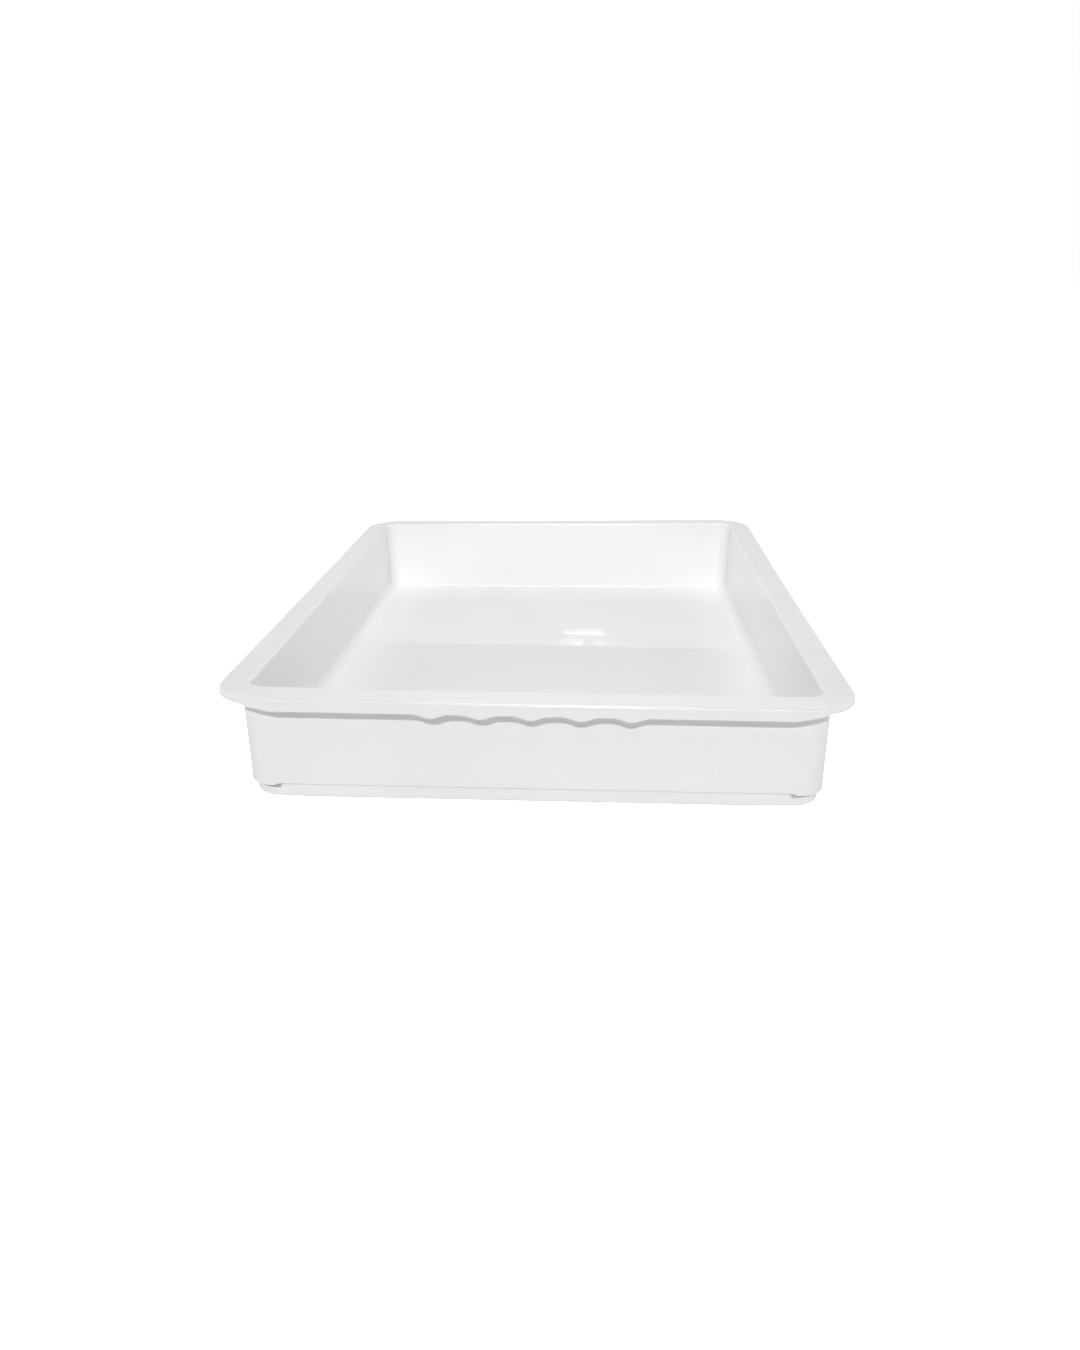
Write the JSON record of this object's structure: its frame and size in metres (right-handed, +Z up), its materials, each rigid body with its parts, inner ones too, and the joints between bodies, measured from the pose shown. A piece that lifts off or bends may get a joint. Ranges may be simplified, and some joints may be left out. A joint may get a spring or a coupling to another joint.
{
  "type": "developing tray",
  "caption": "Deep rectangular darkroom tray with a flat rim, a finger grip under each short side and a smooth filleted floor.",
  "frame": {"origin": "middle of the base, on the surface that the tray stands on", "axes": "+Z up out of the open tray, Y along the long side, X along the short side; the rim's finger grips are under the sides at -Y and +Y"},
  "size_m": [0.271, 0.33, 0.051],
  "materials": {
    "white_plastic": "glossy injection-moulded white plastic, smooth inside and out"
  },
  "bodies": {
    "root": {"tray": "white_plastic"}
  },
  "joints": []
}
